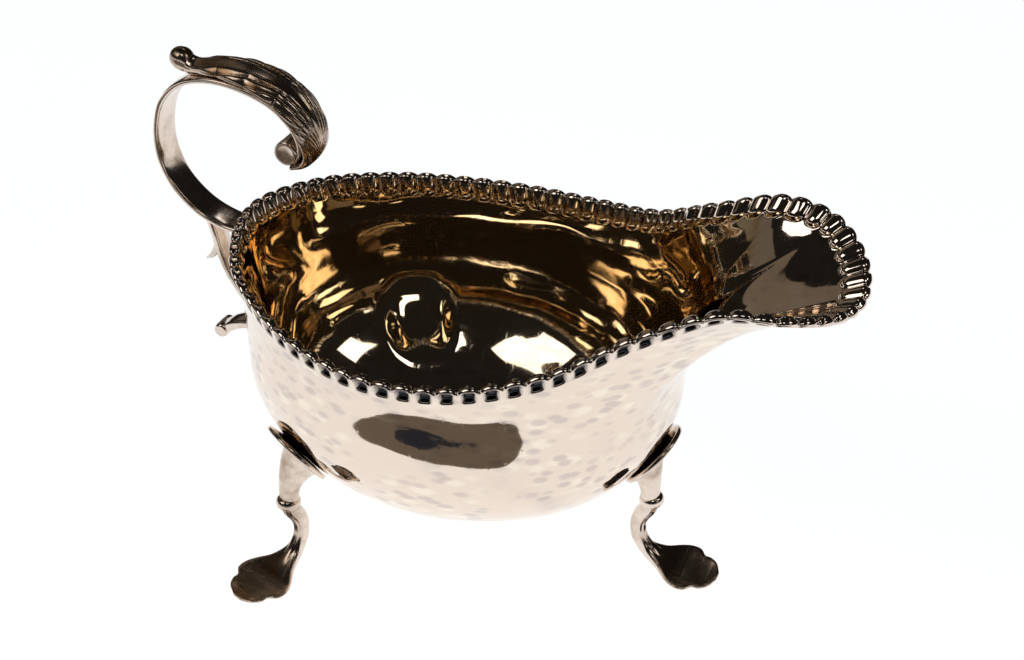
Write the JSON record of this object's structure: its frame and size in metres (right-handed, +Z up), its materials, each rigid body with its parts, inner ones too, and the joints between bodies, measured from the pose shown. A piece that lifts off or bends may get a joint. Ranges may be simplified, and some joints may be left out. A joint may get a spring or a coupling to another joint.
{
  "type": "sauce boat",
  "caption": "Footed silver sauce boat: oval raised bowl with a wide pouring lip, punched beaded rim, leaf-capped scroll handle and cast legs with lobed feet.",
  "frame": {"origin": "on the table, under the middle of the whole piece", "axes": "+X from the handle to the lip, +Y to the boat's left side, +Z up"},
  "size_m": [0.1766, 0.1064, 0.1195],
  "materials": {
    "sheet_silver": "planished and polished sheet, warm tarnish inside",
    "cast_silver": "polished casting with dark tarnish in the hollows"
  },
  "bodies": {
    "root": {"body": "sheet_silver", "handle_strap": "cast_silver", "handle_leaf": "cast_silver", "handle_lower_scroll": "cast_silver", "handle_tail": "cast_silver", "front_pad": "cast_silver", "front_knee": "cast_silver", "front_collar": "cast_silver", "front_foot": "cast_silver", "rear_left_pad": "cast_silver", "rear_left_knee": "cast_silver", "rear_left_collar": "cast_silver", "rear_left_foot": "cast_silver", "rear_right_pad": "cast_silver", "rear_right_knee": "cast_silver", "rear_right_collar": "cast_silver", "rear_right_foot": "cast_silver"}
  },
  "joints": []
}
